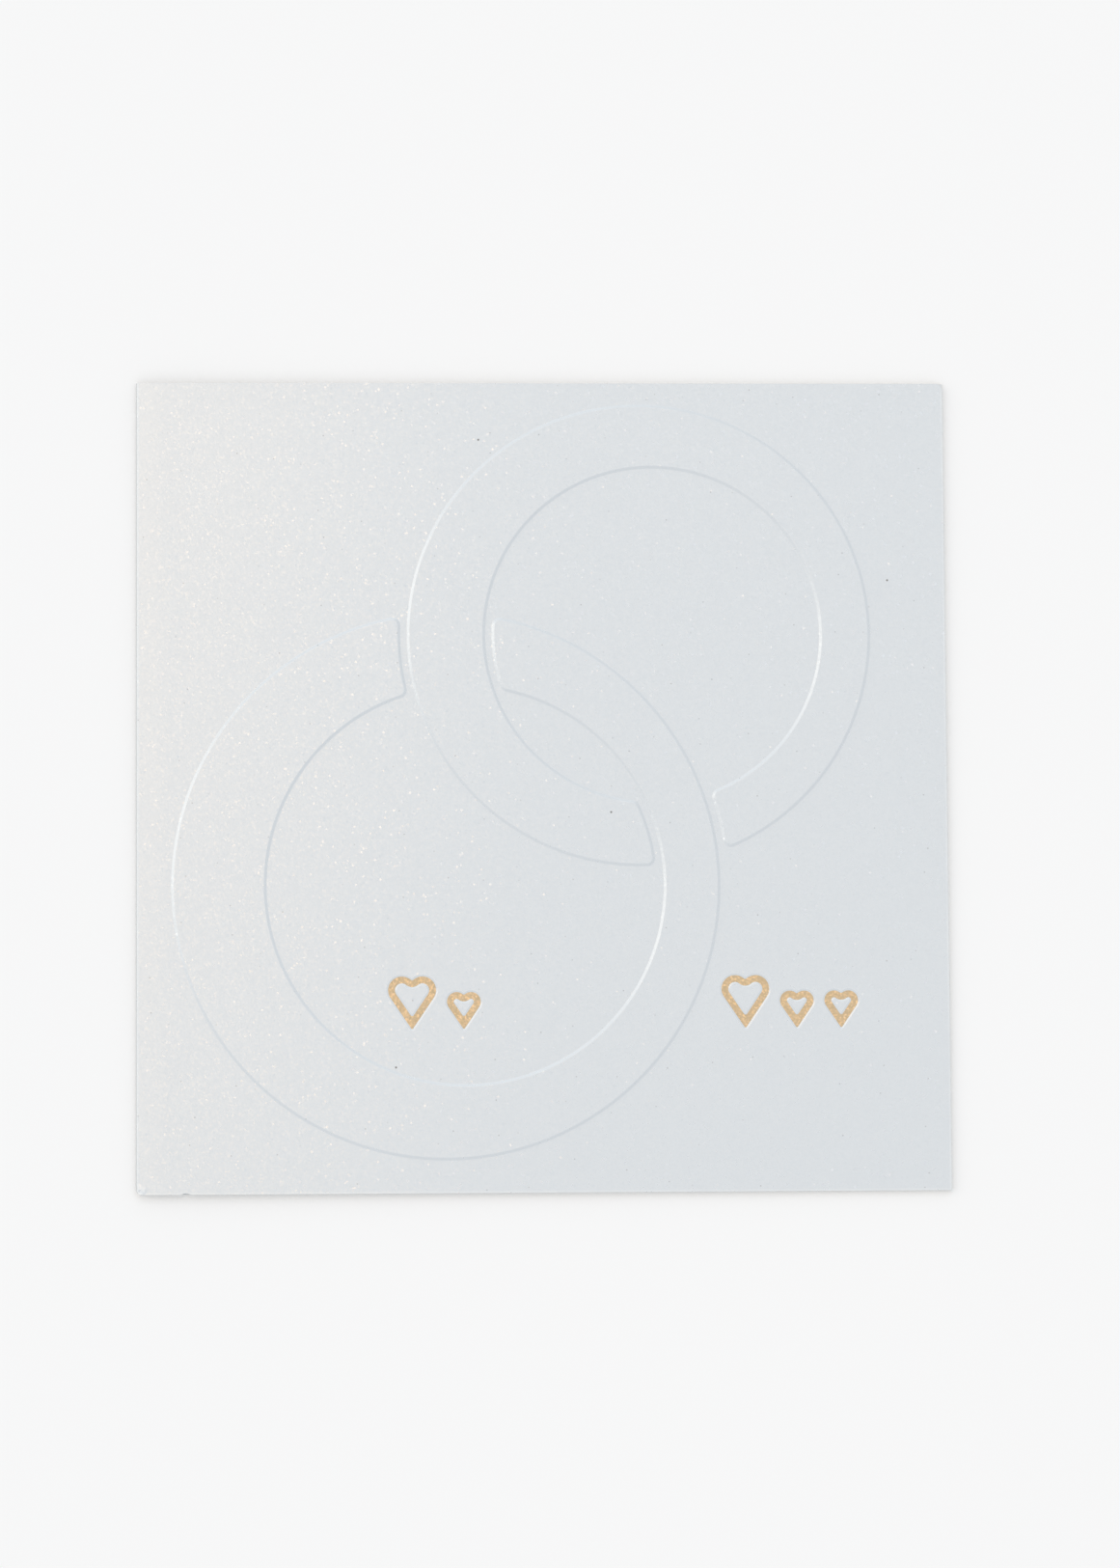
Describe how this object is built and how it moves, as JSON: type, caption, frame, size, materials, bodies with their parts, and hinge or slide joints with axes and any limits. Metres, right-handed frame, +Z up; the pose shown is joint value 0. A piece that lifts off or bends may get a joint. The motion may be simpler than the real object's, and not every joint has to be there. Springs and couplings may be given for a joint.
{
  "type": "greeting card",
  "caption": "Closed square greeting card of folded pearl board, blind embossed with linked rings and stamped with small gold foil hearts.",
  "frame": {"origin": "middle of the closed card's outline, on the surface that it lies on", "axes": "+X from the fold to the open side, +Y to the top of the card, +Z up, out of the front cover"},
  "size_m": [0.15, 0.15, 0.0017],
  "materials": {
    "pearl_board": "pearlescent white card, smooth, with a fine shimmer",
    "gold_foil": "pale gold hot-stamped foil, satin"
  },
  "bodies": {
    "root": {"card": "pearl_board", "foil_heart_1": "gold_foil", "foil_heart_2": "gold_foil", "foil_heart_3": "gold_foil", "foil_heart_4": "gold_foil", "foil_heart_5": "gold_foil"}
  },
  "joints": []
}
